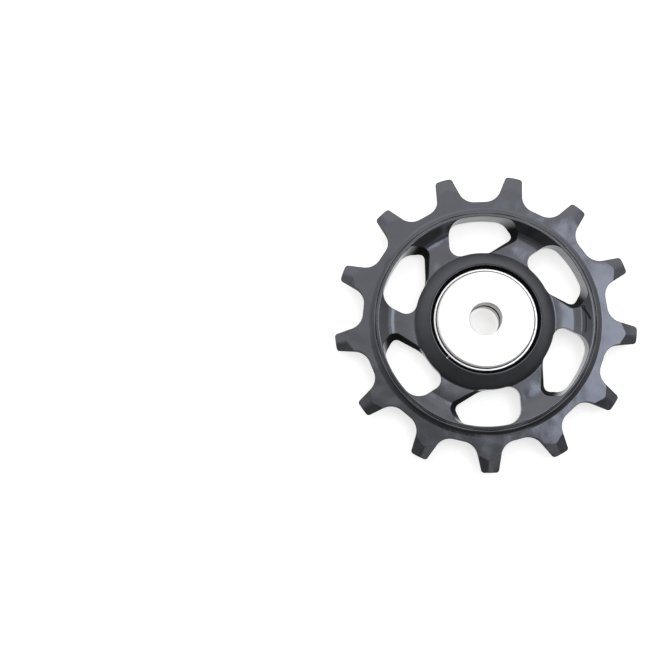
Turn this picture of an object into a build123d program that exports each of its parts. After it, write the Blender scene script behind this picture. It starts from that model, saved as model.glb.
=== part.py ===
from build123d import *
import os
from math import atan, atan2, cos, degrees, pi, radians, sin, sqrt, tan

# Derailleur jockey wheel: a moulded toothed pulley that turns on a sealed ball bearing with a metal cap
# on each side. Millimetres. The axle runs along Z, z = 0 is the middle of the teeth and +Z is the front.

# Chain and teeth
chain_pitch = 12.7
chain_roller_diameter = 7.75
tooth_count = 13
first_tooth_angle = 22.0
tooth_thickness = 1.9
root_clearance = 0.16
tip_addendum = 1.3
tooth_tip_width = 3.1
tooth_flank_angle = 9.2
gap_fillet_radius = 3.1
tip_corner_radius = 0.6

# Roof-shaped bevel on both faces of each tooth tip
tip_bevel_reach = 2.05
tip_bevel_drop = 0.6
tip_bevel_side_angle = 8.7
tip_ridge_radius = 3.0
tip_bevel_run_in = 2.4

# Bearing
bearing_diameter = 19.0
bearing_bore = 8.0
bearing_width = 4.6
ball_diameter = 2.0
ball_count = 9
ball_clearance = 0.03
race_radius_excess = 0.06
race_shoulder_height = 0.3
ring_edge_chamfer = 0.12
seal_recess_depth = 0.5
ring_land_width = 0.4
seal_thickness = 0.42
seal_lip_clearance = 0.05
cage_thickness = 0.75
cage_back_wall = 0.25
cage_prong_height = 0.5
cage_pocket_clearance = 0.08

# Caps and the bore for the pulley bolt
axle_bore = 5.8
width_over_caps = 6.5
cap_setback = 0.55
cap_running_gap = 0.2
cap_seat_diameter = 11.0
cap_spigot_gap = 1.3
cap_edge_chamfer = 0.25
bore_chamfer = 0.2

# Hub of the pulley
hub_recess = 0.2
bearing_seat_width = 2.4
lead_in_height = 0.9
counterbore_gap = 0.5
hub_rim_width = 0.3
hub_flank_run = 2.6
hub_foot_radius = 0.5

# Dished faces and the rim lip, which stands out on both of them
web_front_height = 0.7
web_back_height = 1.2
lip_setback = 2.45
lip_width = 0.4
lip_height = 2.1
lip_back_height = 2.4
lip_wall_run = 2.65
lip_flank_run = 1.35
lip_edge_chamfer = 0.1
crease_radius = 1.2

# Windows between the spokes, seen with the window's middle line pointing outwards
window_count = 6
first_window_angle = 33.0
window_rim_margin = 3.0
window_hub_overlap = 0.1
window_trail_offset = 5.57
window_lead_offset = 5.6
window_lead_depth = 2.55
window_tip_offset = 6.6
window_foot_offset = 1.3
window_outer_corner = 3.0
window_trail_corner = 2.0
window_slant_corner = 5.3
window_lead_corner = 2.4
window_tip_corner = 1.4

# How the window's sides lean; the slanted edge runs from the tip of the leading side to a foot at the hub
window_trail_draft = 3.2
window_lead_draft = 16.7
window_tip_draft = 30.0
window_foot_draft = 23.2

# Largest window corners: shares of the window's depth, and of the leading side's depth for its two ends
outer_corner_limit = 0.45
trail_corner_limit = 0.35
slant_corner_limit = 0.8
lead_corner_limit = 0.95
tip_corner_limit = 0.55

# How far a cutter stands past what it cuts
cut_margin = 1.0

# Derived heights and radii
half_pitch_angle = 180 / tooth_count
pitch_radius = chain_pitch / (2 * sin(pi / tooth_count))
root_radius = pitch_radius - chain_roller_diameter / 2 - root_clearance
tip_radius = pitch_radius + tip_addendum
tooth_half = tooth_thickness / 2

cap_face = width_over_caps / 2
hub_half = cap_face - hub_recess
bearing_half = bearing_width / 2
bearing_radius = bearing_diameter / 2
seat_half = bearing_seat_width / 2
ball_radius = ball_diameter / 2
ball_pitch_radius = (bearing_diameter + bearing_bore) / 4
cap_radius = bearing_radius - cap_setback

counterbore_radius = bearing_radius + counterbore_gap
hub_rim_radius = counterbore_radius + hub_rim_width
hub_foot = hub_rim_radius + hub_flank_run
lip_outer = root_radius - lip_setback
lip_inner = lip_outer - lip_width
crease = lip_inner - lip_wall_run
shoulder = lip_outer + lip_flank_run
lead_in_top = seat_half + lead_in_height

bearing_inner_radius = bearing_bore / 2
race_radius = ball_radius + race_radius_excess
outer_groove = ball_pitch_radius + ball_radius + ball_clearance
inner_groove = ball_pitch_radius - ball_radius - ball_clearance
outer_shoulder = outer_groove - race_shoulder_height
inner_shoulder = inner_groove + race_shoulder_height
seal_seat_radius = bearing_radius - ring_land_width
seal_seat_height = bearing_half - seal_recess_depth
pocket_radius = ball_radius + cage_pocket_clearance
cage_back = pocket_radius + cage_back_wall
cage_height = cage_back + cage_prong_height


def corner(sketch, place):
    """The sketch's vertex nearest to a point of its outline."""
    return sketch.vertices().sort_by_distance(place)[0]


# Pulley: section of hub, web, rim lip and tooth disc, turned about the axle; front side, then back
front_corners = [
    (bearing_radius, -seat_half),
    (bearing_radius, seat_half),
    (counterbore_radius, lead_in_top),
    (counterbore_radius, hub_half),
    (hub_rim_radius, hub_half),
    (hub_foot, web_front_height),
    (crease, web_front_height),
    (lip_inner, lip_height),
    (lip_outer, lip_height),
]
back_corners = [
    (shoulder, tooth_half),
    (tip_radius, tooth_half),
    (tip_radius, -tooth_half),
    (shoulder, -tooth_half),
    (lip_outer, -lip_back_height),
    (lip_inner, -lip_back_height),
    (crease, -web_back_height),
    (hub_foot, -web_back_height),
    (hub_rim_radius, -hub_half),
    (counterbore_radius, -hub_half),
    (counterbore_radius, -lead_in_top),
    (bearing_radius, -seat_half),
]
lip_edges = [(lip_inner, lip_height), (lip_outer, lip_height)]

# Tooth gap: a flat floor with round corners, and flanks that lean away from the gap's middle line
gap_flank_angle = radians(tooth_flank_angle + half_pitch_angle)
half_pitch = radians(half_pitch_angle)
flank_tip_x = tip_radius * cos(half_pitch) + tooth_tip_width / 2 * sin(half_pitch)
flank_tip_y = tip_radius * sin(half_pitch) - tooth_tip_width / 2 * cos(half_pitch)
gap_floor_half = flank_tip_y - (flank_tip_x - root_radius) * tan(gap_flank_angle)
gap_mouth_radius = tip_radius + cut_margin
gap_mouth_half = gap_floor_half + (gap_mouth_radius - root_radius) * tan(gap_flank_angle)

with BuildSketch() as tooth_gap:
    with BuildLine():
        Polyline(
            (root_radius, -gap_floor_half),
            (root_radius, gap_floor_half),
            (gap_mouth_radius, gap_mouth_half),
            (gap_mouth_radius, -gap_mouth_half),
            close=True,
        )
    make_face()
    fillet(tooth_gap.vertices().group_by(Axis.X)[0], radius=gap_fillet_radius)

# Tip bevel: two planes that meet in a rounded ridge, falling towards the tip, cut from both faces
bevel_fall = atan(tip_bevel_drop / tip_bevel_reach)
bevel_start = tip_radius - tip_bevel_reach - tip_bevel_run_in
bevel_start_height = tooth_half + tip_bevel_run_in * tan(bevel_fall)
bevel_half_width = tooth_tip_width
bevel_side_fall = bevel_half_width * tan(radians(tip_bevel_side_angle))
bevel_plane = Plane(
    origin=(bevel_start, 0, bevel_start_height),
    x_dir=(0, 1, 0),
    z_dir=(cos(bevel_fall), 0, -sin(bevel_fall)),
)

with BuildPart() as tip_bevel:
    with BuildSketch(bevel_plane) as roof:
        with BuildLine():
            Polyline(
                (-bevel_half_width, -bevel_side_fall),
                (0, 0),
                (bevel_half_width, -bevel_side_fall),
                (bevel_half_width, tooth_thickness),
                (-bevel_half_width, tooth_thickness),
                close=True,
            )
        make_face()
        fillet(corner(roof, (0, 0)), radius=tip_ridge_radius)
    extrude(amount=(tip_bevel_run_in + tip_bevel_reach + cut_margin) / cos(bevel_fall))
    mirror(about=Plane.XY)

# Window: upright walls at rim and hub, and sides that lean into the spokes towards the front
window_outer = root_radius - window_rim_margin
window_inner = hub_foot - window_hub_overlap
window_depth = window_outer - window_inner
outer_corner = min(window_outer_corner, outer_corner_limit * window_depth)
trail_corner = min(window_trail_corner, trail_corner_limit * window_depth)
slant_corner = min(window_slant_corner, slant_corner_limit * window_depth)
lead_corner = min(window_lead_corner, lead_corner_limit * window_lead_depth)
tip_corner = min(window_tip_corner, tip_corner_limit * window_lead_depth)


def beside_middle(radius, offset):
    """Point at a radius about the axle and at a distance beside the window's middle line."""
    return Vector(sqrt(radius**2 - offset**2), offset)


def arc_about_axle(radius, start, end):
    """Arc about the axle between two points at the same radius."""
    start_angle = degrees(atan2(start.Y, start.X))
    end_angle = degrees(atan2(end.Y, end.X))
    return CenterArc((0, 0), radius, start_angle, end_angle - start_angle)


def window_outline(height):
    """Window at one height: outer and inner arcs, trailing side, short leading side and slanted edge."""
    rise = height + web_back_height
    trail_offset = window_trail_offset - height * tan(radians(window_trail_draft))
    lead_offset = window_lead_offset + rise * tan(radians(window_lead_draft))
    tip_offset = window_tip_offset + rise * tan(radians(window_tip_draft))
    foot_offset = window_foot_offset + rise * tan(radians(window_foot_draft))
    outer_trail = beside_middle(window_outer, trail_offset)
    inner_trail = beside_middle(window_inner, trail_offset)
    outer_lead = beside_middle(window_outer, -lead_offset)
    tip = beside_middle(window_outer - window_lead_depth, -tip_offset)
    slant_foot = beside_middle(window_inner, -foot_offset)
    with BuildSketch(Plane.XY.offset(height)) as outline:
        with BuildLine():
            Line(outer_trail, inner_trail)
            arc_about_axle(window_inner, inner_trail, slant_foot)
            Line(slant_foot, tip)
            Line(tip, outer_lead)
            arc_about_axle(window_outer, outer_lead, outer_trail)
        make_face()
        fillet(corner(outline, outer_trail), radius=outer_corner)
        fillet(corner(outline, inner_trail), radius=trail_corner)
        fillet(corner(outline, slant_foot), radius=slant_corner)
        fillet(corner(outline, tip), radius=tip_corner)
        fillet(corner(outline, outer_lead), radius=lead_corner)
    return outline.sketch


with BuildPart() as window:
    add(window_outline(-hub_half))
    add(window_outline(hub_half))
    loft(ruled=True)

with BuildPart() as pulley_wheel:
    with BuildSketch(Plane.XZ) as section:
        with BuildLine():
            Polyline(*front_corners)
            TangentArc(back_corners[0], front_corners[-1], tangent=(-1, 0))
            Polyline(*back_corners)
        make_face()
        fillet(corner(section, (hub_foot, web_front_height)), radius=hub_foot_radius)
        fillet(corner(section, (crease, web_front_height)), radius=crease_radius)
        for edge in lip_edges:
            chamfer(corner(section, edge), length=lip_edge_chamfer)
    revolve(axis=Axis.Z)
    with BuildSketch():
        with PolarLocations(0, tooth_count, start_angle=first_tooth_angle + half_pitch_angle):
            add(tooth_gap.sketch)
    extrude(amount=tooth_half + cut_margin, both=True, mode=Mode.SUBTRACT)
    tip_edges = pulley_wheel.edges().filter_by(Axis.Z).filter_by(lambda e: e.center().length > pitch_radius)
    fillet(tip_edges, radius=tip_corner_radius)
    with PolarLocations(0, tooth_count, start_angle=first_tooth_angle):
        add(tip_bevel.part, mode=Mode.SUBTRACT)
    with PolarLocations(0, window_count, start_angle=first_window_angle):
        add(window.part, mode=Mode.SUBTRACT)

# Bearing rings, each with a ball groove; the outer one is recessed at both ends for a seal
with BuildPart() as bearing_outer_ring:
    with BuildSketch(Plane.XZ) as outer_section:
        with BuildLine():
            Polyline(
                (outer_shoulder, -seal_seat_height),
                (seal_seat_radius, -seal_seat_height),
                (seal_seat_radius, -bearing_half),
                (bearing_radius, -bearing_half),
                (bearing_radius, bearing_half),
                (seal_seat_radius, bearing_half),
                (seal_seat_radius, seal_seat_height),
                (outer_shoulder, seal_seat_height),
                close=True,
            )
        make_face()
        chamfer(outer_section.vertices().group_by(Axis.X)[-1], length=ring_edge_chamfer)
        with Locations((outer_groove - race_radius, 0)):
            Circle(race_radius, mode=Mode.SUBTRACT)
    revolve(axis=Axis.Z)

with BuildPart() as bearing_inner_ring:
    with BuildSketch(Plane.XZ) as inner_section:
        with Locations(((bearing_inner_radius + inner_shoulder) / 2, 0)):
            Rectangle(inner_shoulder - bearing_inner_radius, bearing_width)
        chamfer(inner_section.vertices(), length=ring_edge_chamfer)
        with Locations((inner_groove + race_radius, 0)):
            Circle(race_radius, mode=Mode.SUBTRACT)
    revolve(axis=Axis.Z)

# Snap-in cage: a ring at the back with a round pocket, open to the front, for each ball
with BuildPart() as ball_cage:
    with BuildSketch(Plane.XZ):
        with Locations((ball_pitch_radius, cage_height / 2 - cage_back)):
            Rectangle(cage_thickness, cage_height)
    revolve(axis=Axis.Z)
    with PolarLocations(ball_pitch_radius, ball_count):
        Sphere(pocket_radius, mode=Mode.SUBTRACT)

balls = []
for location in PolarLocations(ball_pitch_radius, ball_count):
    with BuildPart() as ball:
        with Locations(location):
            Sphere(ball_radius)
    balls.append(ball)


def seal(side):
    """Flat rubber ring in the outer ring's recess; side is 1 for the front and -1 for the back."""
    with BuildPart() as ring:
        with BuildSketch(Plane.XY.offset(side * seal_seat_height)):
            Circle(seal_seat_radius)
            Circle(inner_shoulder + seal_lip_clearance, mode=Mode.SUBTRACT)
        extrude(amount=side * seal_thickness)
    return ring


def cap(side):
    """Turned cap: a plate over the bearing, a seat on the inner ring and a spigot in its bore."""
    plate_back = bearing_half + cap_running_gap
    with BuildPart() as turned:
        with BuildSketch(Plane.XZ) as cap_section:
            with BuildLine():
                Polyline(
                    (axle_bore / 2, side * cap_spigot_gap / 2),
                    (bearing_inner_radius, side * cap_spigot_gap / 2),
                    (bearing_inner_radius, side * bearing_half),
                    (cap_seat_diameter / 2, side * bearing_half),
                    (cap_seat_diameter / 2, side * plate_back),
                    (cap_radius, side * plate_back),
                    (cap_radius, side * cap_face),
                    (axle_bore / 2, side * cap_face),
                    close=True,
                )
            make_face()
            chamfer(corner(cap_section, (cap_radius, side * cap_face)), length=cap_edge_chamfer)
            chamfer(corner(cap_section, (axle_bore / 2, side * cap_face)), length=bore_chamfer)
        revolve(axis=Axis.Z)
    return turned


pieces = {
    "pulley_wheel": pulley_wheel,
    "bearing_outer_ring": bearing_outer_ring,
    "bearing_inner_ring": bearing_inner_ring,
    "ball_cage": ball_cage,
    "front_seal": seal(1),
    "rear_seal": seal(-1),
    "front_cap": cap(1),
    "rear_cap": cap(-1),
}
for number, ball in enumerate(balls, start=1):
    pieces[f"ball_{number:02d}"] = ball

os.makedirs("parts", exist_ok=True)
for name, piece in pieces.items():
    piece.part.label = name
    export_step(piece.part, f"parts/{name}.step")
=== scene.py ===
"""Looks of a derailleur jockey wheel: a black moulded pulley on a sealed bearing between two bright caps."""
import math
import bpy
import numpy as np
from bpy.props import FloatProperty, FloatVectorProperty, PointerProperty
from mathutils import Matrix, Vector


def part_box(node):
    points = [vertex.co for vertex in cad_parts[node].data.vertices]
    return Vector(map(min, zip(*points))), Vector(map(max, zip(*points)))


bl_info = {
    "name": "Jockey wheel looks",
    "version": (1, 0, 0),
    "blender": (4, 5, 0),
    "location": "View3D > Sidebar > Jockey wheel",
    "description": "Finishes of a moulded derailleur pulley with its bearing, and a small studio for it",
    "category": "Material",
}

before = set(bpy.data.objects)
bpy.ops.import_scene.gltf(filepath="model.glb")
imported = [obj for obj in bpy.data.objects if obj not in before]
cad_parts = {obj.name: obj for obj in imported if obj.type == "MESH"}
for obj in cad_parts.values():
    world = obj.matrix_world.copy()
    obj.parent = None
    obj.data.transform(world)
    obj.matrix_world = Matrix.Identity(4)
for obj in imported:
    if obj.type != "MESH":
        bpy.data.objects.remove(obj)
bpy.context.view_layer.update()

MM = 0.001
PER_MM = 1000.0
FULL_TURN = 2 * math.pi

# The wheel lies on its rear cap
FLOOR_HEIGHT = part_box("rear_cap")[0].z

# Sockets of a Mix node that mixes colours
MIX_SHARE, MIX_BELOW, MIX_ABOVE, MIX_RESULT = 0, 6, 7, 2

# Span that holds most values of a noise, and samples of the node that rounds edges
MIDDLE = (0.3, 0.7)
BEVEL_SAMPLES = 8

# Shares of a stroke's width where its edge fades, and heights in millimetres where the marked side starts
STROKE_EDGE = (0.35, 0.65)
MARKED_SIDE_MM = (0.6, 0.75)

# Faces of the pulley by the Z of their normal: spans where each kind fades in or out
WALL_RISE, WALL_FALL = (0.12, 0.2), (0.62, 0.68)
FLANK_RISE, FLANK_FALL = (0.68, 0.72), (0.78, 0.82)
FACET_RISE, FACET_FALL = (0.3, 0.5), (0.965, 0.99)
UPRIGHT_FALL = (0.1, 0.25)

# Turn of the rounded normal from the true one that counts as an edge
EDGE_TURN = (0.01, 0.12)

# Patterns of the nylon: flow marks by radius, turn and height, and features for each millimetre
FLOW_STRETCH = (0.12, 5.0, 0.3)
FLOW_SCALE = 1.6
MOTTLE_PER_MM = 0.55
SPECKS_PER_MM = 2.6
SPECK_SPAN = (0.74, 0.78)

# Shares in the nylon's colour, its worn edges and tips, the painted sheen on its flanks, specks and waves
BODY_SHADES = (0.75, 1.3)
MOTTLE_SHARE = 0.6
EDGE_WEAR = 0.5
TIP_WEAR, TIP_WEAR_MOTTLE = 0.1, 0.5
FLANK_PAINTED_SHEEN = 0.35
HOLLOW_PAINTED_SHEEN = 0.5
SPECK_SHARE, TIP_SPECK_SHARE = 0.1, 0.6
WAVE_SHARE = 0.85

# Steps in the nylon's roughness
SKIN_GLOSS = 0.06
MOTTLE_MATT = 0.08
FLOW_MATT = 0.06
SPECK_MATT = 0.1

# Patterns of the turned metal: wander and lean of its rings, streaks by radius, turn and height, and satin
WANDER_PER_MM = 0.6
WANDER_MM = 0.08
RING_LEAN = 0.7
STREAK_STRETCH = (9.0, 0.6, 9.0)
STREAK_SHARE = 0.6
STREAK_SPAN = (0.25, 0.75)
SATIN_PER_MM = 14.0
METAL_SHADE = 0.9

# Steps in the turned metal's roughness
METAL_GLOSS = 0.04
STREAK_MATT = 0.06
SATIN_MATT = 0.03
BORE_MATT = 0.15

# Fibres of the floor paper for each millimetre, and the shade between them
FIBRES_PER_MM = 0.5
PAPER_SHADE = 0.985

# What like properties share
COLOUR = {"subtype": "COLOR"}
SHARE = {"subtype": "FACTOR", "min": 0, "max": 1}
PLACE = {"subtype": "XYZ", "unit": "LENGTH"}
EXTENT = {"size": 2, "unit": "LENGTH"}


class Flow:
    """A shader socket in a formula: its operators add Math nodes, and node() adds any other node."""

    def __init__(self, tree, socket=None):
        self.tree = tree
        self.socket = socket

    def node(self, kind, settings=(), inputs=(), out=0):
        """Adds a node of a kind, sets it up, fills or links its inputs and returns one of its outputs."""
        made = self.tree.nodes.new(kind)
        for name, value in dict(settings).items():
            setattr(made, name, value)
        for key, value in dict(inputs).items():
            if isinstance(value, Flow):
                self.tree.links.new(value.socket, made.inputs[key])
            else:
                made.inputs[key].default_value = value
        return Flow(self.tree, made.outputs[out])

    def math(self, operation, *values, clamp=False):
        """Adds a Math node on the given values, sockets or numbers."""
        settings = {"operation": operation, "use_clamp": clamp}
        return self.node("ShaderNodeMath", settings, enumerate(values))

    def __add__(self, other):
        return self.math("ADD", self, other)

    __radd__ = __add__

    def __sub__(self, other):
        return self.math("SUBTRACT", self, other)

    def __rsub__(self, other):
        return self.math("SUBTRACT", other, self)

    def __mul__(self, other):
        return self.math("MULTIPLY", self, other)

    __rmul__ = __mul__

    def __abs__(self):
        return self.math("ABSOLUTE", self)

    def most(self, other):
        """The larger of this value and another."""
        return self.math("MAXIMUM", self, other)

    def held(self, factor):
        """This value times a factor, held between 0 and 1."""
        return self.math("MULTIPLY", self, factor, clamp=True)

    def weigh(self, share, other):
        """A share of this value and the rest of another."""
        return self * share + other * (1 - share)

    def ramp(self, low, high):
        """0 below low, 1 above high and a smooth step between them."""
        return self.node(
            "ShaderNodeMapRange",
            {"interpolation_type": "SMOOTHSTEP"},
            {"Value": self, "From Min": low, "From Max": high},
        )

    def band(self, rise, fall):
        """1 between two soft edges: it grows over the rise and fades over the fall."""
        return self.ramp(*rise) * (1.0 - self.ramp(*fall))

    def noise(self, scale, detail=2.0, roughness=0.5):
        """Smooth noise from 0 to 1 at this place, with so many features for each unit."""
        return self.node(
            "ShaderNodeTexNoise",
            inputs={"Vector": self, "Scale": scale, "Detail": detail, "Roughness": roughness},
        )

    def mix(self, below, above):
        """Mixes two colours, plain ones or flows, by this share."""
        below, above = [side if isinstance(side, Flow) else (*side, 1.0) for side in (below, above)]
        inputs = {MIX_SHARE: self, MIX_BELOW: below, MIX_ABOVE: above}
        return self.node("ShaderNodeMix", {"data_type": "RGBA"}, inputs, out=MIX_RESULT)


class Surface:
    """A new material with the socket tools that its finish is written in."""

    def __init__(self, name):
        self.material = bpy.data.materials.new(name)
        self.material.use_nodes = True
        self.tree = self.material.node_tree
        self.shader = self.tree.nodes["Principled BSDF"]
        self.start = Flow(self.tree)
        coords = self.start.node("ShaderNodeTexCoord", out="Object")
        self.place = self.start.node(
            "ShaderNodeVectorMath", {"operation": "SCALE"}, {0: coords, "Scale": PER_MM}
        )

    def around(self):
        """Distance from the axle in millimetres, turn about it in radians and height in millimetres."""
        outputs = self.start.node("ShaderNodeSeparateXYZ", inputs={0: self.place}).socket.node.outputs
        x, y, height = [Flow(self.tree, socket) for socket in outputs]
        flat = self.start.node("ShaderNodeCombineXYZ", inputs={"X": x, "Y": y})
        radius = self.start.node(
            "ShaderNodeVectorMath", {"operation": "LENGTH"}, {0: flat}, out="Value"
        )
        return radius, self.start.math("ARCTAN2", y, x), height

    def rounded_normal(self, radius_mm):
        """Normal of the surface with its sharp edges rounded off to a radius in millimetres."""
        inputs = {"Radius": radius_mm * MM}
        return self.start.node("ShaderNodeBevel", {"samples": BEVEL_SAMPLES}, inputs)

    def bump(self, height, depth_mm, normal=None):
        """Normal of a relief on the surface, whose height of 1 stands for a depth in millimetres."""
        inputs = {"Strength": 1.0, "Distance": depth_mm * MM, "Height": height}
        if normal is not None:
            inputs["Normal"] = normal
        return self.start.node("ShaderNodeBump", inputs=inputs)

    def own(self):
        """The main shader."""
        return Flow(self.tree, self.shader.outputs[0])

    def show(self, shader):
        """Links a shader to the material's output and returns the material."""
        self.tree.links.new(shader.socket, self.tree.nodes["Material Output"].inputs["Surface"])
        return self.material

    def mix_over(self, other, share):
        """Mixes another shader over the main one by a share and returns the material."""
        return self.show(self.start.node("ShaderNodeMixShader", inputs={0: share, 1: self.own(), 2: other}))

    def finish(self, constants, **varying):
        """Sets the shader's constant sockets and links those that vary over the surface."""
        for name, value in constants.items():
            self.shader.inputs[name].default_value = value
        for name, flow in varying.items():
            self.tree.links.new(flow.socket, self.shader.inputs[name.replace("_", " ").title()])
        return self.material


def stretched(flows, factors):
    """A place on three axes, each a flow times a factor, for a pattern that is drawn out along one axis."""
    inputs = {axis: flow * factor for axis, flow, factor in zip("XYZ", flows, factors)}
    return flows[0].node("ShaderNodeCombineXYZ", inputs=inputs)


def stroke(radial, across, start, end, width):
    """1 along a straight stroke between two points and 0 away from it: the distance to the nearest point of
    the segment, found by projecting the place on it and holding the share between 0 and 1."""
    run = (end[0] - start[0], end[1] - start[1])
    square = run[0] ** 2 + run[1] ** 2
    off_r = radial - start[0]
    off_a = across - start[1]
    share = (off_r * run[0] + off_a * run[1]).held(1 / square)
    gap_r = off_r - share * run[0]
    gap_a = off_a - share * run[1]
    gap = radial.math("SQRT", gap_r * gap_r + gap_a * gap_a)
    return 1.0 - gap.ramp(*[width * edge for edge in STROKE_EDGE])


def arrow_marks(look, radius, turn, height):
    """1 in the shaft and 1 in the barb of the turning arrow on the rim's wall, as two flows: the broad shaft
    runs along the turn and the thin barb goes outwards from its tip."""
    across = (turn - look.arrow_angle) * look.arrow_radius_mm
    half = look.arrow_length_mm / 2
    tip = (look.arrow_radius_mm, half)
    tail = (look.arrow_radius_mm, -half)
    back = (look.arrow_radius_mm + look.arrow_barb_mm, half - look.arrow_back_mm)
    marked_side = height.ramp(*MARKED_SIDE_MM)
    shaft = stroke(radius, across, tail, tip, look.arrow_shaft_mm)
    barb = stroke(radius, across, tip, back, look.arrow_stroke_mm)
    return shaft * marked_side, barb * marked_side


def pale_spot_mark(look, radius, turn, height):
    """1 in a small pale spot across the gap beside the bearing: a short stroke along the radius."""
    inner, outer = look.pale_spot_reach_mm
    across = (turn - look.pale_spot_angle) * outer
    mark = stroke(radius, across, (inner, 0.0), (outer, 0.0), look.pale_spot_width_mm)
    return mark * height.ramp(*MARKED_SIDE_MM)


def hump(radius, start, run, height):
    """Parabola over a run of the radius: 0 at its two ends and the full height in its middle."""
    share = (radius - start).held(1 / run)
    return share * (1.0 - share) * (4 * height)


def moulded_form(look, radius):
    """Height in millimetres that eases the pulley's face: the web is slightly crowned, the foot of the rim's
    wall is broad, the lip's top leans out, the flank outside it is fuller and the hub's flank is domed. The
    crown and the flank are humps, the foot two smooth steps, the lip a straight fall and the dome half a
    parabola."""
    crown = hump(radius, look.crown_start_mm, look.crown_run_mm, look.crown_height_mm)
    fuller = hump(radius, look.flank_start_mm, look.flank_run_mm, look.flank_height_mm)
    early = radius.ramp(*look.foot_rise_mm) * look.foot_height_mm
    late = radius.ramp(*look.foot_fall_mm) * look.foot_depth_mm
    down = (radius - look.dome_start_mm).held(1 / look.dome_run_mm)
    dome = (2.0 - down) * down * look.dome_depth_mm
    lean = (radius - look.lip_start_mm).held(1 / look.lip_run_mm) * look.lip_fall_mm
    return crown + (early - late) + fuller + dome - lean


def nylon_material(look):
    """Black glass-filled nylon as it leaves the mould: semi-gloss and slightly wavy, with flow marks, a fine
    grain, softened edges, grey tips, a few pale specks, a small pale spot, flanks painted paler as a painted
    sheen, dull walls and a sunk arrow."""
    skin = Surface("moulded_nylon")
    radius, turn, height = skin.around()

    # Flow marks fan out from the hub: noise that is drawn out along the radius
    flow_marks = stretched((radius, turn, height), FLOW_STRETCH).noise(FLOW_SCALE, detail=3.0)
    mottle = skin.place.noise(MOTTLE_PER_MM, detail=3.0, roughness=0.6)
    waves = skin.place.noise(look.waves_per_mm, detail=0.6)
    grain = skin.place.noise(look.grain_per_mm, detail=3.0, roughness=0.65)
    specks = skin.place.noise(SPECKS_PER_MM, detail=1.0).ramp(*SPECK_SPAN)

    # An edge is where the rounded normal turns away from the true one
    rounded = skin.rounded_normal(look.edge_radius_mm)
    normal = skin.start.node("ShaderNodeNewGeometry", out="Normal")
    facing = skin.start.node(
        "ShaderNodeVectorMath", {"operation": "DOT_PRODUCT"}, {0: rounded, 1: normal}, out="Value"
    )
    edge = (1.0 - facing).ramp(*EDGE_TURN)

    # Leaning walls, the hub's rim, the gaps between the teeth and the arrow's barb come dull from the mould
    upward = skin.start.node("ShaderNodeSeparateXYZ", inputs={0: normal}, out="Z")
    level = abs(upward)
    walls = upward.band(WALL_RISE, WALL_FALL) * radius.band(look.wall_start_mm, look.wall_end_mm)
    shaft, barb = arrow_marks(look, radius, turn, height)
    rim = radius.band(look.hub_edge_mm, look.hub_rim_mm)
    gaps = radius.ramp(*look.gap_start_mm) * (1.0 - level.ramp(*UPRIGHT_FALL))
    dull = walls.most(barb * look.barb_dull + rim * look.hub_rim_dull + gaps * look.gap_dull)

    # The hub's flank and the flank outside the lip are painted paler, a painted sheen for their brighter
    # shading, and the chain rubs the bevelled tips grey
    flank = level.band(FLANK_RISE, FLANK_FALL) * (1.0 - radius.ramp(*look.wall_start_mm))
    hollow = radius.band(look.hollow_start_mm, look.hollow_end_mm)
    rubbed = radius.ramp(*look.tip_start_mm) * level.band(FACET_RISE, FACET_FALL)
    scuffed = rubbed * (TIP_WEAR + mottle * TIP_WEAR_MOTTLE)
    # Paler along rubbed edges and tips, and painted paler on both flanks as a painted sheen
    wear_and_painted_sheen = (edge * EDGE_WEAR).most(scuffed + flank * FLANK_PAINTED_SHEEN + hollow * HOLLOW_PAINTED_SHEEN)

    dark, light = [[channel * shade for channel in look.colour] for shade in BODY_SHADES]
    body = mottle.weigh(MOTTLE_SHARE, flow_marks).ramp(*MIDDLE).mix(dark, light)
    worn = wear_and_painted_sheen.mix(body, look.wear_and_painted_sheen_colour)
    specked = (specks * (SPECK_SHARE + rubbed * TIP_SPECK_SHARE)).mix(worn, look.speck_colour)
    # A small pale spot painted across the gap beside the bearing
    spotted = pale_spot_mark(look, radius, turn, height).mix(specked, look.pale_spot_colour)

    streaky = look.roughness - SKIN_GLOSS + mottle * MOTTLE_MATT + flow_marks * FLOW_MATT
    roughness = streaky + specks * SPECK_MATT + flank * look.hub_matt + rubbed * look.tip_matt

    formed = skin.bump(moulded_form(look, radius), depth_mm=1.0, normal=rounded)
    wavy = skin.bump(waves.weigh(WAVE_SHARE, flow_marks), look.wave_depth_mm, formed)
    ground = skin.bump(grain, look.grain_depth_mm, wavy)
    marked = skin.bump(1.0 - shaft.most(barb), look.arrow_depth_mm, ground)
    skin.finish(
        {"IOR": look.ior, "Specular IOR Level": look.sheen, "Specular Tint": (*look.sheen_colour, 1.0)},
        base_color=spotted,
        roughness=roughness,
        normal=marked,
    )
    matt = skin.start.node(
        "ShaderNodeBsdfPrincipled",
        inputs={
            "Base Color": spotted,
            "Roughness": look.dull_roughness,
            "Specular IOR Level": look.dull_sheen,
            "Normal": marked,
        },
    )
    return skin.mix_over(matt, dull)


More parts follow.
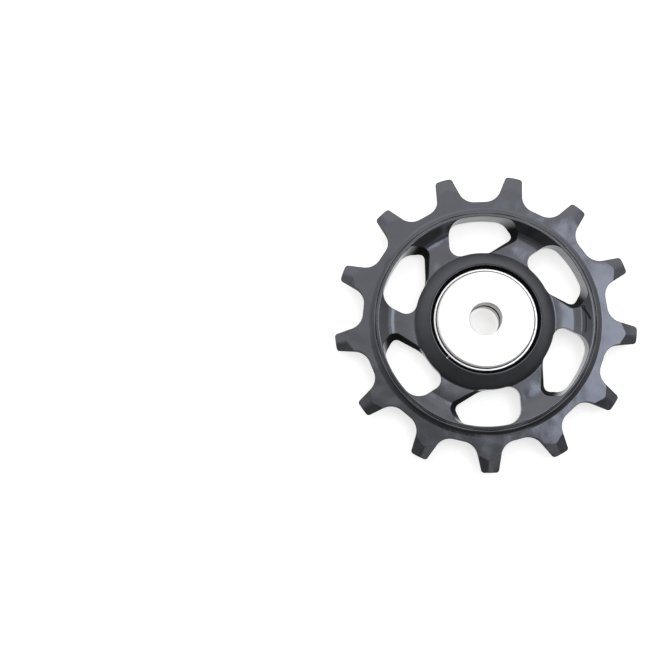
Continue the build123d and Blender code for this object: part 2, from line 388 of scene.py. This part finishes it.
def turned_material(name, look, feed_mm, depth_mm, roughness, edge_mm):
    """Bright turned metal with softened edges, a light satin mottle and fine tool rings about the axle: a
    sine of the radius, to which a part of the height is added so that upright faces have rings too."""
    skin = Surface(name)
    radius, turn, height = skin.around()
    wander = skin.place.noise(WANDER_PER_MM)
    travel = radius + height * RING_LEAN + wander * WANDER_MM
    groove = skin.start.math("SINE", travel * (FULL_TURN / feed_mm)) * 0.5 + 0.5
    streaks = stretched((radius, turn, height), STREAK_STRETCH).noise(1.0, detail=3.0, roughness=0.6)
    satin = skin.place.noise(SATIN_PER_MM)

    dark = [channel * METAL_SHADE for channel in look.colour]
    face = streaks.weigh(STREAK_SHARE, wander).ramp(*STREAK_SPAN).mix(dark, look.colour)
    # Darker inside the bore: painted shade there, on a rougher drilled finish
    drilled = 1.0 - radius.ramp(*look.bore_edge_mm)
    # Near black in the narrow gap between the caps' spigots: painted shade there
    gap = (1.0 - abs(height).ramp(*look.gap_height_mm)) * (1.0 - radius.ramp(*look.gap_depth_mm))
    body = gap.mix(drilled.mix(face, look.bore_shade_colour), look.gap_shade_colour)
    streaky = roughness - METAL_GLOSS + streaks * STREAK_MATT

    # The bore's edge is broken more gently than its chamfer
    inward = (look.break_start_mm - radius).held(1 / look.break_run_mm)
    broken = skin.bump(inward, look.break_height_mm, skin.rounded_normal(edge_mm))
    return skin.finish(
        {"Metallic": 1.0},
        base_color=body,
        roughness=streaky + satin * SATIN_MATT + drilled * BORE_MATT,
        normal=skin.bump(groove, depth_mm, broken),
    )


def mottled_material(name, constants, per_mm, span, colours, roughness, grain_per_mm=0.0, grain_mm=0.0):
    """Finish that a mottle takes from one colour and roughness to another, with a fine grain where one is
    given: grains for each millimetre and their depth."""
    skin = Surface(name)
    mottle = skin.place.noise(per_mm, detail=3.0)
    low, high = roughness
    varying = {"base_color": mottle.ramp(*span).mix(*colours), "roughness": low + mottle * (high - low)}
    if grain_per_mm:
        varying["normal"] = skin.bump(skin.place.noise(grain_per_mm), grain_mm)
    return skin.finish(constants, **varying)


def seal_material(look):
    """Black nitrile rubber: dull, with a fine grain and a faint bloom in patches."""
    return mottled_material(
        "seal_rubber",
        {"IOR": 1.5},
        per_mm=0.8,
        span=(0.35, 0.75),
        colours=(look.seal_colour, look.bloom_colour),
        roughness=(0.6, 0.75),
        grain_per_mm=12.0,
        grain_mm=0.006,
    )


def ball_material(look):
    """Polished chrome steel under a thin film of grease, which dulls it in patches."""
    return mottled_material(
        "ball_steel",
        {"Metallic": 1.0},
        per_mm=1.1,
        span=MIDDLE,
        colours=(look.film_colour, look.ball_colour),
        roughness=(0.08, 0.22),
    )


def cage_material(look):
    """Natural nylon with a waxy mottle and a fine grain."""
    return mottled_material(
        "cage_plastic",
        {"IOR": 1.53},
        per_mm=1.4,
        span=MIDDLE,
        colours=(look.cage_colour, look.wax_colour),
        roughness=(0.4, 0.52),
        grain_per_mm=10.0,
        grain_mm=0.004,
    )


def dress(material, *nodes):
    """Gives CAD nodes a material in place of their plain one."""
    for name in nodes:
        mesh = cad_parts[name].data
        mesh.materials.clear()
        mesh.materials.append(material)


def floor_grid(reach, rings=24, spokes=96):
    """Round floor as a polar grid: radius grows with the square of the ring's share, so it is fine at the
    middle, where a fan of triangles closes it."""
    share = np.linspace(0.0, 1.0, rings + 1)[1:]
    turn = np.linspace(0.0, FULL_TURN, spokes, endpoint=False)
    radius, angle = np.meshgrid(reach * share**2, turn, indexing="ij")
    grid = np.stack([radius * np.cos(angle), radius * np.sin(angle), np.zeros_like(radius)], axis=-1)
    points = np.vstack([[[0.0, 0.0, 0.0]], grid.reshape(-1, 3)])
    points[:, 2] += FLOOR_HEIGHT
    ring, spoke = np.meshgrid(np.arange(rings - 1), np.arange(spokes), indexing="ij")
    here = 1 + ring * spokes + spoke
    beside = 1 + ring * spokes + (spoke + 1) % spokes
    quads = np.stack([here, here + spokes, beside + spokes, beside], axis=-1).reshape(-1, 4)
    middle = np.arange(spokes)
    hub = np.stack([np.zeros(spokes, int), 1 + middle, 1 + (middle + 1) % spokes], axis=-1)
    mesh = bpy.data.meshes.new("floor")
    mesh.from_pydata(points.tolist(), [], hub.tolist() + quads.tolist())
    mesh.update()
    return mesh


def seen(start):
    """1 on rays from the viewer, from mirrors and through glass, and 0 on the rays that light the object."""
    outputs = start.node("ShaderNodeLightPath").socket.node.outputs
    rays = ("Is Camera Ray", "Is Glossy Ray", "Is Transmission Ray")
    viewer, mirror, glass = [Flow(start.tree, outputs[ray]) for ray in rays]
    return viewer.most(mirror).most(glass)


def floor_material(look):
    """White sweep paper: a matt surface that takes the shadow, with a lift that only the viewer and mirrors
    see."""
    skin = Surface("floor_paper")
    shaded = [channel * PAPER_SHADE for channel in look.floor_colour]
    body = skin.place.noise(FIBRES_PER_MM, detail=3.0).ramp(*MIDDLE).mix(shaded, look.floor_colour)
    skin.finish({"Specular IOR Level": 0.0, "Roughness": 0.9}, base_color=body)
    lift = skin.start.node("ShaderNodeEmission", inputs={"Strength": seen(skin.start) * look.floor_lift})
    return skin.show(skin.start.node("ShaderNodeAddShader", inputs={0: skin.own(), 1: lift}))


def studio_world(look):
    """Room light by direction: it grows towards the back and is dim on the viewer's side. The viewer and
    mirrors see a white sweep round the horizon, where the floor ends."""
    world = bpy.data.worlds.new("studio_room")
    world.use_nodes = True
    bpy.context.scene.world = world
    start = Flow(world.node_tree)
    toward = start.node("ShaderNodeTexCoord", out="Generated")
    backward = start.node("ShaderNodeSeparateXYZ", inputs={0: toward}, out="Y")
    upward = start.node("ShaderNodeSeparateXYZ", inputs={0: toward}, out="Z")
    forward = (0.0 - backward).most(0.0)
    room = look.room_level + backward * look.room_back - forward * look.room_front
    room = room.most(look.room_dark)
    sweep = (1.0 - upward.ramp(*look.sweep_height)) * seen(start)
    level = room + sweep * (1.0 - room)
    background = world.node_tree.nodes["Background"]
    background.inputs["Color"].default_value = (*look.light_colour, 1.0)
    world.node_tree.links.new(level.socket, background.inputs["Strength"])


def softbox(name, place, size, radiance, colour):
    """Area lamp that faces down and shows as an even panel: its power is pi times its radiance and area."""
    lamp = bpy.data.lights.new(name, "AREA")
    lamp.shape = "RECTANGLE"
    lamp.size, lamp.size_y = size
    lamp.energy = radiance * math.pi * size[0] * size[1]
    lamp.color = colour
    holder = bpy.data.objects.new(name, lamp)
    holder.location = place
    bpy.context.scene.collection.objects.link(holder)


def place_camera(look):
    """Camera over the wheel, turned the shortest way from straight down to its aim."""
    lens = bpy.data.cameras.new("camera")
    lens.lens = look.lens_mm
    lens.clip_start = 0.01
    camera = bpy.data.objects.new("camera", lens)
    camera.location = look.camera_place
    camera.rotation_mode = "QUATERNION"
    aim = Vector(look.camera_aim) - Vector(look.camera_place)
    camera.rotation_quaternion = Vector((0.0, 0.0, -1.0)).rotation_difference(aim)
    bpy.context.scene.collection.objects.link(camera)
    bpy.context.scene.camera = camera


class NylonLook(bpy.types.PropertyGroup):
    """Finish of the moulded pulley, with its lengths in millimetres."""

    colour: FloatVectorProperty(
        name="Colour", description="Body colour of the nylon", default=(0.013, 0.013, 0.014), **COLOUR
    )
    # This colour also paints the two flanks paler: a painted sheen
    wear_and_painted_sheen_colour: FloatVectorProperty(
        name="Wear and sheen colour", description="Colour of rubbed edges and painted sheen", default=(0.04, 0.04, 0.043), **COLOUR
    )
    speck_colour: FloatVectorProperty(
        name="Speck colour", description="Colour of the pale specks", default=(0.16, 0.16, 0.17), **COLOUR
    )
    roughness: FloatProperty(
        name="Roughness", description="Mean roughness of the skin", default=0.17, **SHARE
    )
    ior: FloatProperty(name="IOR", description="Refractive index of the nylon", min=1, default=1.6)
    sheen: FloatProperty(
        name="Sheen", description="Strength of the skin's reflection", default=1.0, **SHARE
    )
    sheen_colour: FloatVectorProperty(
        name="Sheen colour", description="Colour of the reflection", default=(0.88, 0.915, 1.0), **COLOUR
    )
    dull_roughness: FloatProperty(
        name="Dull roughness", description="Roughness of the dull walls", default=0.8, **SHARE
    )
    dull_sheen: FloatProperty(
        name="Dull sheen", description="Reflection of the dull walls", default=0.06, **SHARE
    )
    hub_matt: FloatProperty(
        name="Hub matt", description="Roughness added on the hub's flank", default=0.22, **SHARE
    )
    hub_edge_mm: FloatVectorProperty(
        name="Hub edge", description="Radii where the dull rim fades in", size=2, default=(10.11, 10.17)
    )
    hub_rim_mm: FloatVectorProperty(
        name="Hub rim", description="Radii where the dull rim fades out", size=2, default=(10.25, 10.4)
    )
    hub_rim_dull: FloatProperty(
        name="Hub rim dull", description="Share of dull finish on the hub's rim", default=0.75, **SHARE
    )
    barb_dull: FloatProperty(
        name="Barb dull", description="Share of dull finish in the arrow's barb", default=0.8, **SHARE
    )
    gap_dull: FloatProperty(
        name="Gap dull", description="Share of dull finish between the teeth", default=0.85, **SHARE
    )
    gap_start_mm: FloatVectorProperty(
        name="Gaps from", description="Radii where the dull gaps fade in", size=2, default=(21.2, 21.6)
    )
    wall_start_mm: FloatVectorProperty(
        name="Walls from", description="Radii where the dull walls fade in", size=2, default=(12.6, 13.0)
    )
    wall_end_mm: FloatVectorProperty(
        name="Walls to", description="Radii where the dull walls fade out", size=2, default=(18.2, 19.5)
    )
    # A small pale spot painted across the gap beside the bearing
    pale_spot_angle: FloatProperty(
        name="Spot angle", description="Turn of the pale spot", subtype="ANGLE", default=math.radians(-135.2)
    )
    pale_spot_reach_mm: FloatVectorProperty(
        name="Spot reach", description="Radii that the pale spot runs between", size=2, default=(9.55, 10.02)
    )
    pale_spot_width_mm: FloatProperty(name="Spot width", description="Width of the pale spot", default=0.3)
    pale_spot_colour: FloatVectorProperty(
        name="Spot colour", description="Colour of the pale spot", default=(0.75, 0.74, 0.72), **COLOUR
    )
    tip_matt: FloatProperty(
        name="Tip matt", description="Roughness added on the rubbed tips", default=0.05, **SHARE
    )
    tip_start_mm: FloatVectorProperty(
        name="Tips from", description="Radii where the rubbed tips fade in", size=2, default=(24.9, 25.5)
    )
    crown_start_mm: FloatProperty(
        name="Crown start", description="Radius where the web's crown starts", default=13.0
    )
    crown_run_mm: FloatProperty(name="Crown run", description="Width of the crown", default=3.3)
    crown_height_mm: FloatProperty(name="Crown height", description="Height of the crown", default=0.06)
    foot_rise_mm: FloatVectorProperty(
        name="Foot rise", description="Radii where the wall's foot rises early", size=2, default=(16.2, 17.0)
    )
    foot_height_mm: FloatProperty(name="Foot height", description="Height of that rise", default=0.04)
    foot_fall_mm: FloatVectorProperty(
        name="Foot fall", description="Radii where the wall's foot lags", size=2, default=(16.85, 17.9)
    )
    foot_depth_mm: FloatProperty(name="Foot depth", description="Depth of that lag", default=0.13)
    lip_start_mm: FloatProperty(
        name="Lip start", description="Radius where the lip's top starts to fall", default=19.5
    )
    lip_run_mm: FloatProperty(name="Lip run", description="Width of the lip's top", default=0.55)
    lip_fall_mm: FloatProperty(name="Lip fall", description="Fall of the lip's top", default=0.12)
    # The flank outside the lip, painted paler as a painted sheen
    hollow_start_mm: FloatVectorProperty(
        name="Hollow from", description="Radii where the painted paler flank fades in", size=2, default=(20.1, 20.3)
    )
    hollow_end_mm: FloatVectorProperty(
        name="Hollow to", description="Radii where the painted paler flank fades out", size=2, default=(21.15, 21.35)
    )
    flank_start_mm: FloatProperty(
        name="Flank start", description="Radius where the lip's outer flank starts", default=20.15
    )
    flank_run_mm: FloatProperty(name="Flank run", description="Width of that flank", default=1.2)
    flank_height_mm: FloatProperty(name="Flank height", description="Fill of that flank", default=0.07)
    dome_start_mm: FloatProperty(
        name="Dome start", description="Radius where the hub's dome starts", default=10.2
    )
    dome_run_mm: FloatProperty(name="Dome run", description="Width of the hub's dome", default=2.6)
    dome_depth_mm: FloatProperty(name="Dome depth", description="Height of the hub's dome", default=0.3)
    waves_per_mm: FloatProperty(name="Waves", description="Waves for each millimetre", default=0.3)
    wave_depth_mm: FloatProperty(name="Wave depth", description="Depth of the waves", default=0.17)
    grain_per_mm: FloatProperty(name="Grain", description="Grains for each millimetre", default=7.0)
    grain_depth_mm: FloatProperty(name="Grain depth", description="Depth of the grain", default=0.0035)
    edge_radius_mm: FloatProperty(name="Edge radius", description="Rounding of sharp edges", default=0.2)
    arrow_angle: FloatProperty(
        name="Arrow angle", description="Turn of the arrow", subtype="ANGLE", default=math.radians(0.5)
    )
    arrow_radius_mm: FloatProperty(
        name="Arrow radius", description="Distance of the arrow from the axle", default=18.05
    )
    arrow_length_mm: FloatProperty(name="Arrow length", description="Length of its shaft", default=4.3)
    arrow_barb_mm: FloatProperty(name="Arrow barb", description="Reach of its barb outwards", default=0.95)
    arrow_back_mm: FloatProperty(name="Arrow back", description="Reach of its barb backwards", default=2.1)
    arrow_shaft_mm: FloatProperty(name="Arrow shaft", description="Width of its shaft", default=0.7)
    arrow_stroke_mm: FloatProperty(name="Arrow stroke", description="Width of its barb", default=0.4)
    arrow_depth_mm: FloatProperty(name="Arrow depth", description="Depth of its strokes", default=0.1)


class MetalLook(bpy.types.PropertyGroup):
    """Finish of the caps and the bearing rings, with its lengths in millimetres."""

    colour: FloatVectorProperty(
        name="Colour", description="Colour of the bright metal", default=(0.9, 0.885, 0.86), **COLOUR
    )
    # Painted shade inside the bore
    bore_shade_colour: FloatVectorProperty(
        name="Bore colour", description="Painted shade inside the bore", default=(0.45, 0.44, 0.43), **COLOUR
    )
    bore_edge_mm: FloatVectorProperty(
        name="Bore edge", description="Radii where the drilled bore ends", size=2, default=(2.905, 2.925)
    )
    # Painted shade in the narrow gap between the caps' spigots
    gap_shade_colour: FloatVectorProperty(
        name="Gap shade colour", description="Colour of the painted shade in the gap", default=(0.04, 0.037, 0.033), **COLOUR
    )
    gap_height_mm: FloatVectorProperty(
        name="Gap height", description="Heights where the painted shade in the gap fades", size=2, default=(0.66, 0.7)
    )
    gap_depth_mm: FloatVectorProperty(
        name="Gap depth", description="Radii where the painted shade in the gap fades", size=2, default=(4.05, 4.1)
    )
    cap_roughness: FloatProperty(
        name="Cap roughness", description="Roughness of the caps", default=0.3, **SHARE
    )
    ring_roughness: FloatProperty(
        name="Ring roughness", description="Roughness of the bearing rings", default=0.3, **SHARE
    )
    cap_feed_mm: FloatProperty(name="Cap feed", description="Spacing of the tool rings", default=0.16)
    ring_feed_mm: FloatProperty(name="Ring feed", description="Spacing of the grinding lines", default=0.07)
    cap_depth_mm: FloatProperty(name="Cap depth", description="Depth of the tool rings", default=0.0009)
    ring_depth_mm: FloatProperty(name="Ring depth", description="Depth of grinding lines", default=0.00045)
    break_start_mm: FloatProperty(
        name="Break start", description="Radius where the bore's edge starts", default=3.12
    )
    break_run_mm: FloatProperty(name="Break run", description="Width of the bore's edge", default=0.24)
    break_height_mm: FloatProperty(
        name="Break height", description="Rise that eases the bore's edge", default=0.14
    )
    cap_edge_mm: FloatProperty(name="Cap edge", description="Rounding of the caps' edges", default=0.12)
    ring_edge_mm: FloatProperty(name="Ring edge", description="Rounding of the rings' edges", default=0.035)


class BearingLook(bpy.types.PropertyGroup):
    """Colours inside the bearing."""

    seal_colour: FloatVectorProperty(
        name="Seal colour", description="Colour of the seals", default=(0.01, 0.01, 0.01), **COLOUR
    )
    bloom_colour: FloatVectorProperty(
        name="Bloom colour", description="Colour of their bloom", default=(0.022, 0.022, 0.022), **COLOUR
    )
    film_colour: FloatVectorProperty(
        name="Film colour", description="Colour of balls under grease", default=(0.66, 0.64, 0.58), **COLOUR
    )
    ball_colour: FloatVectorProperty(
        name="Ball colour", description="Colour of the bare balls", default=(0.86, 0.86, 0.87), **COLOUR
    )
    cage_colour: FloatVectorProperty(
        name="Cage colour", description="Colour of the cage", default=(0.5, 0.46, 0.38), **COLOUR
    )
    wax_colour: FloatVectorProperty(
        name="Wax colour", description="Colour of its waxy mottle", default=(0.66, 0.62, 0.54), **COLOUR
    )


class StageLook(bpy.types.PropertyGroup):
    """Floor, room, lamps and camera."""

    floor_colour: FloatVectorProperty(
        name="Floor colour", description="Colour of the floor paper", default=(0.93, 0.915, 0.88), **COLOUR
    )
    floor_reach: FloatProperty(
        name="Floor reach", description="Radius of the floor", unit="LENGTH", default=4.0
    )
    floor_lift: FloatProperty(
        name="Floor lift", description="Light that the viewer sees added to the floor", default=0.62
    )
    light_colour: FloatVectorProperty(
        name="Light colour", description="Colour of the room's light", default=(0.98, 0.985, 1.0), **COLOUR
    )
    room_level: FloatProperty(name="Room level", description="Light of the room overhead", default=0.52)
    room_back: FloatProperty(
        name="Room back", description="Rise of the room's light towards the back", default=0.45
    )
    room_front: FloatProperty(
        name="Room front", description="Extra fall of the light towards the viewer", default=0.35
    )
    room_dark: FloatProperty(name="Room dark", description="Least light of the room", default=0.05)
    sweep_height: FloatVectorProperty(
        name="Sweep height",
        description="Sines of the heights between which the white sweep fades",
        size=2,
        default=(0.05, 0.24),
    )
    back_radiance: FloatProperty(
        name="Back softbox", description="Brightness of the back softbox", default=0.56
    )
    back_colour: FloatVectorProperty(
        name="Back colour", description="Colour of the back softbox", default=(0.98, 0.985, 1.0), **COLOUR
    )
    back_place: FloatVectorProperty(
        name="Back place", description="Place of the back softbox", default=(0.075, 0.4125, 0.5), **PLACE
    )
    back_size: FloatVectorProperty(
        name="Back size", description="Width and depth of the back softbox", default=(0.97, 0.775), **EXTENT
    )
    side_radiance: FloatProperty(
        name="Side softbox", description="Brightness of the side softbox", default=2.6
    )
    side_colour: FloatVectorProperty(
        name="Side colour", description="Colour of the side softbox", default=(0.82, 0.855, 1.0), **COLOUR
    )
    side_place: FloatVectorProperty(
        name="Side place", description="Place of the side softbox", default=(0.185, 0.033, 0.47), **PLACE
    )
    side_size: FloatVectorProperty(
        name="Side size", description="Width and depth of the side softbox", default=(0.195, 0.195), **EXTENT
    )
    fill_radiance: FloatProperty(
        name="Fill softbox", description="Brightness of the fill softbox", default=0.85
    )
    fill_colour: FloatVectorProperty(
        name="Fill colour", description="Colour of the fill softbox", default=(1.0, 1.0, 1.0), **COLOUR
    )
    fill_place: FloatVectorProperty(
        name="Fill place", description="Place of the fill softbox", default=(0.12, -0.345, 0.5), **PLACE
    )
    fill_size: FloatVectorProperty(
        name="Fill size", description="Width and depth of the fill softbox", default=(0.3, 0.18), **EXTENT
    )
    lens_mm: FloatProperty(name="Lens", description="Focal length", subtype="DISTANCE_CAMERA", default=54.75)
    camera_place: FloatVectorProperty(
        name="Camera place",
        description="Place of the camera",
        default=(-0.019176, -0.025704, 0.18301),
        **PLACE,
    )
    camera_aim: FloatVectorProperty(
        name="Camera aim",
        description="Point that the camera looks at",
        default=(-0.029576, -0.000574, 0.0),
        **PLACE,
    )


class JOCKEY_OT_pulley(bpy.types.Operator):
    """Gives the moulded pulley its black nylon"""

    bl_idname = "jockey.pulley"
    bl_label = "Pulley"

    def execute(self, context):
        dress(nylon_material(context.scene.jockey_nylon), "pulley_wheel")
        return {"FINISHED"}


class JOCKEY_OT_caps(bpy.types.Operator):
    """Gives both caps their turned metal"""

    bl_idname = "jockey.caps"
    bl_label = "Caps"

    def execute(self, context):
        look = context.scene.jockey_metal
        metal = turned_material(
            "cap_metal", look, look.cap_feed_mm, look.cap_depth_mm, look.cap_roughness, look.cap_edge_mm
        )
        dress(metal, "front_cap", "rear_cap")
        return {"FINISHED"}


class JOCKEY_OT_rings(bpy.types.Operator):
    """Gives the bearing's rings their ground steel"""

    bl_idname = "jockey.rings"
    bl_label = "Bearing rings"

    def execute(self, context):
        look = context.scene.jockey_metal
        steel = turned_material(
            "bearing_steel",
            look,
            look.ring_feed_mm,
            look.ring_depth_mm,
            look.ring_roughness,
            look.ring_edge_mm,
        )
        dress(steel, "bearing_outer_ring", "bearing_inner_ring")
        return {"FINISHED"}


class JOCKEY_OT_seals(bpy.types.Operator):
    """Gives the bearing's seals their rubber"""

    bl_idname = "jockey.seals"
    bl_label = "Seals"

    def execute(self, context):
        dress(seal_material(context.scene.jockey_bearing), "front_seal", "rear_seal")
        return {"FINISHED"}


class JOCKEY_OT_ball_set(bpy.types.Operator):
    """Gives the balls and their cage their finishes"""

    bl_idname = "jockey.ball_set"
    bl_label = "Ball set"

    def execute(self, context):
        look = context.scene.jockey_bearing
        balls = [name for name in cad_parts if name.startswith("ball_") and name != "ball_cage"]
        dress(ball_material(look), *balls)
        dress(cage_material(look), "ball_cage")
        return {"FINISHED"}


class JOCKEY_OT_stage(bpy.types.Operator):
    """Makes the floor, the room's light, the softboxes and the camera"""

    bl_idname = "jockey.stage"
    bl_label = "Stage"

    def execute(self, context):
        look = context.scene.jockey_stage
        floor = bpy.data.objects.new("floor", floor_grid(look.floor_reach))
        floor.data.materials.append(floor_material(look))
        context.scene.collection.objects.link(floor)
        studio_world(look)
        softbox("back_softbox", look.back_place, look.back_size, look.back_radiance, look.back_colour)
        softbox("side_softbox", look.side_place, look.side_size, look.side_radiance, look.side_colour)
        softbox("fill_softbox", look.fill_place, look.fill_size, look.fill_radiance, look.fill_colour)
        place_camera(look)
        context.scene.view_settings.view_transform = "Standard"
        return {"FINISHED"}


LOOKS = {
    "jockey_nylon": NylonLook,
    "jockey_metal": MetalLook,
    "jockey_bearing": BearingLook,
    "jockey_stage": StageLook,
}

OPERATORS = (
    JOCKEY_OT_pulley,
    JOCKEY_OT_caps,
    JOCKEY_OT_rings,
    JOCKEY_OT_seals,
    JOCKEY_OT_ball_set,
    JOCKEY_OT_stage,
)


class JOCKEY_PT_panel(bpy.types.Panel):
    """Buttons for the finishes and the stage, and the values of their looks"""

    bl_idname = "JOCKEY_PT_panel"
    bl_label = "Jockey wheel"
    bl_space_type = "VIEW_3D"
    bl_region_type = "UI"
    bl_category = "Jockey wheel"

    def draw(self, context):
        for operator in OPERATORS:
            self.layout.operator(operator.bl_idname)
        for group, look in LOOKS.items():
            box = self.layout.box()
            for name in look.__annotations__:
                box.prop(getattr(context.scene, group), name)


CLASSES = (*LOOKS.values(), *OPERATORS, JOCKEY_PT_panel)


def register():
    """Registers the classes and gives the scene its looks."""
    for item in CLASSES:
        bpy.utils.register_class(item)
    for group, look in LOOKS.items():
        setattr(bpy.types.Scene, group, PointerProperty(type=look))


def unregister():
    """Takes the looks and the classes out again."""
    for group in LOOKS:
        delattr(bpy.types.Scene, group)
    for item in reversed(CLASSES):
        bpy.utils.unregister_class(item)


def main():
    """Registers the add-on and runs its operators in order."""
    register()
    bpy.ops.jockey.pulley()
    bpy.ops.jockey.caps()
    bpy.ops.jockey.rings()
    bpy.ops.jockey.seals()
    bpy.ops.jockey.ball_set()
    bpy.ops.jockey.stage()


if __name__ == "__main__":
    main()
